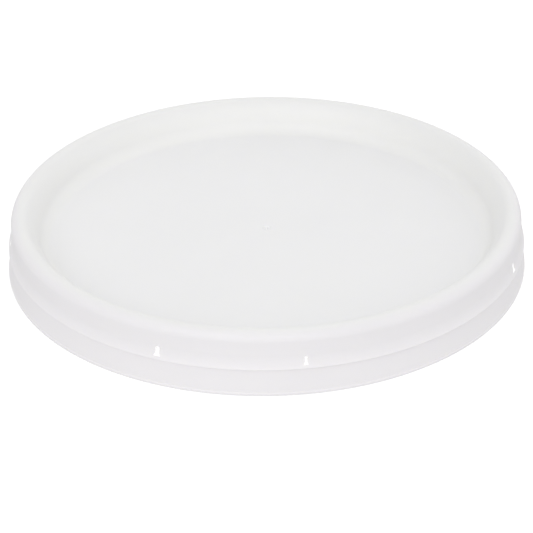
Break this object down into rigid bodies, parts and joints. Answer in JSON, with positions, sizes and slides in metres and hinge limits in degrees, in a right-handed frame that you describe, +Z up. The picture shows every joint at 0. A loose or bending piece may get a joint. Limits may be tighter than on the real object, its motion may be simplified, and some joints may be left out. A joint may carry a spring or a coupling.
{
  "type": "fermenting bucket lid",
  "caption": "Round press-on bucket lid with a rounded raised rim, flat recessed panel, stepped skirt with small bottle-shaped windows, and a sealing ring in the rim channel.",
  "frame": {"origin": "centre of the lid, level with the skirt's bottom edge", "axes": "+Z up through the middle of the panel, out of the bucket; the four pairs of skirt windows are centred on +X, -X, +Y and -Y"},
  "size_m": [0.3134, 0.3134, 0.0361],
  "materials": {
    "lid": "natural white polyethylene, satin, slightly translucent",
    "seal": "off-white food-grade rubber, matte"
  },
  "bodies": {
    "root": {"panel": "lid", "plug": "lid", "crown": "lid", "skirt": "lid", "sealing_ring": "seal"}
  },
  "joints": []
}
